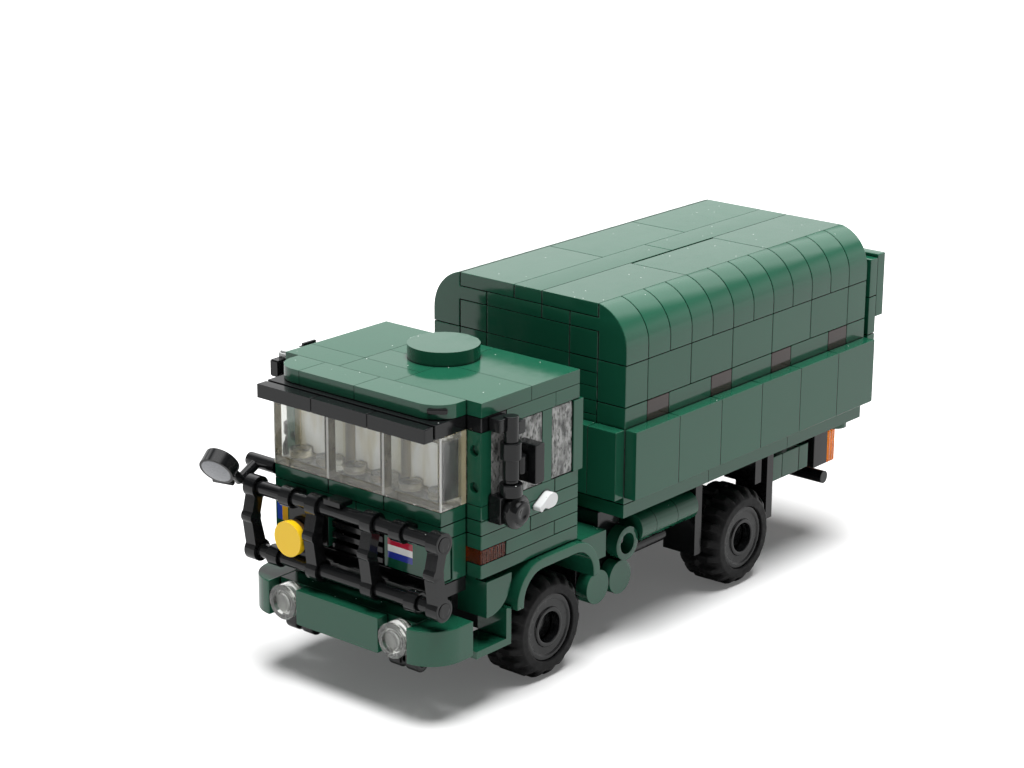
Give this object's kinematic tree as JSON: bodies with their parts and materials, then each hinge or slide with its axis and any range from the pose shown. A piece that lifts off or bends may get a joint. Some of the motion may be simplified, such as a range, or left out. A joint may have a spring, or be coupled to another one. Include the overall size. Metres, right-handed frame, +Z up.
{
  "type": "toy covered army truck built from bricks",
  "caption": "Toy covered army truck built from plastic bricks, with a boxy cab, bull bar, covered load bed and four rolling wheels.",
  "frame": {"origin": "on the floor, under the middle of the truck's box", "axes": "+X forward towards the bull bar, +Y to the truck's left, +Z up"},
  "size_m": [0.1743, 0.0679, 0.0782],
  "materials": {
    "green_plastic": "dark green moulded bricks, glossy",
    "black_plastic": "black moulded bricks, bars and rims, glossy",
    "tyre_rubber": "soft black tyre, dull",
    "clear_plastic": "clear moulded bricks and panes",
    "orange_lens": "clear orange lamp pieces",
    "yellow_plastic": "yellow round tile, blank",
    "tan_plastic": "tan moulded bricks",
    "brown_plastic": "brown moulded bricks",
    "pale_grey_plastic": "pale grey levers and lining"
  },
  "bodies": {
    "truck": {"chassis_spine": "black_plastic", "front_axle": "black_plastic", "rear_axle": "black_plastic", "cab_floor": "green_plastic", "cab_lining": "pale_grey_plastic", "cab_seats": "tan_plastic", "cab_rear_wall": "green_plastic", "cab_sides": "green_plastic", "cab_front": "green_plastic", "cab_window_frames": "green_plastic", "side_windows": "clear_plastic", "windshield": "clear_plastic", "cab_roof": "green_plastic", "roof_hatch": "green_plastic", "visor": "black_plastic", "grille": "black_plastic", "front_tiles": "green_plastic", "bull_bar_tubes": "black_plastic", "bull_bar_arms": "black_plastic", "sign_mount": "tan_plastic", "sign_disc": "yellow_plastic", "bumper": "green_plastic", "headlights": "clear_plastic", "tow_hooks": "black_plastic", "front_fenders": "green_plastic", "cab_steps": "green_plastic", "indicators": "orange_lens", "side_mirrors": "black_plastic", "kerb_mirror": "black_plastic", "door_handles": "pale_grey_plastic", "bed_floor": "green_plastic", "side_board_left": "green_plastic", "side_board_right": "green_plastic", "front_board": "green_plastic", "tailgate": "green_plastic", "rear_flap": "green_plastic", "cover_walls": "green_plastic", "cover_brown_bricks": "brown_plastic", "cover_shoulder_left": "green_plastic", "cover_shoulder_right": "green_plastic", "cover_roof": "green_plastic", "cover_front_wall": "green_plastic", "cover_rear_wall": "green_plastic", "side_tanks": "green_plastic", "side_discs": "green_plastic", "mud_flaps": "black_plastic", "tool_boxes": "green_plastic", "tail_lamps": "orange_lens", "lamp_housings": "black_plastic", "rear_bar": "black_plastic"},
    "wheel_fl": {"rim_fl": "black_plastic", "tyre_fl": "tyre_rubber"},
    "wheel_fr": {"rim_fr": "black_plastic", "tyre_fr": "tyre_rubber"},
    "wheel_rl": {"rim_rl": "black_plastic", "tyre_rl": "tyre_rubber"},
    "wheel_rr": {"rim_rr": "black_plastic", "tyre_rr": "tyre_rubber"}
  },
  "joints": [
    {"name": "turn_fl", "type": "hinge", "parent": "truck", "child": "wheel_fl", "pos_m": [0.04081, 0.0184, 0.0118], "axis": [0, 1, 0], "continuous": true},
    {"name": "turn_fr", "type": "hinge", "parent": "truck", "child": "wheel_fr", "pos_m": [0.04081, -0.0184, 0.0118], "axis": [0, 1, 0], "continuous": true},
    {"name": "turn_rl", "type": "hinge", "parent": "truck", "child": "wheel_rl", "pos_m": [-0.03119, 0.0184, 0.0118], "axis": [0, 1, 0], "continuous": true},
    {"name": "turn_rr", "type": "hinge", "parent": "truck", "child": "wheel_rr", "pos_m": [-0.03119, -0.0184, 0.0118], "axis": [0, 1, 0], "continuous": true}
  ]
}
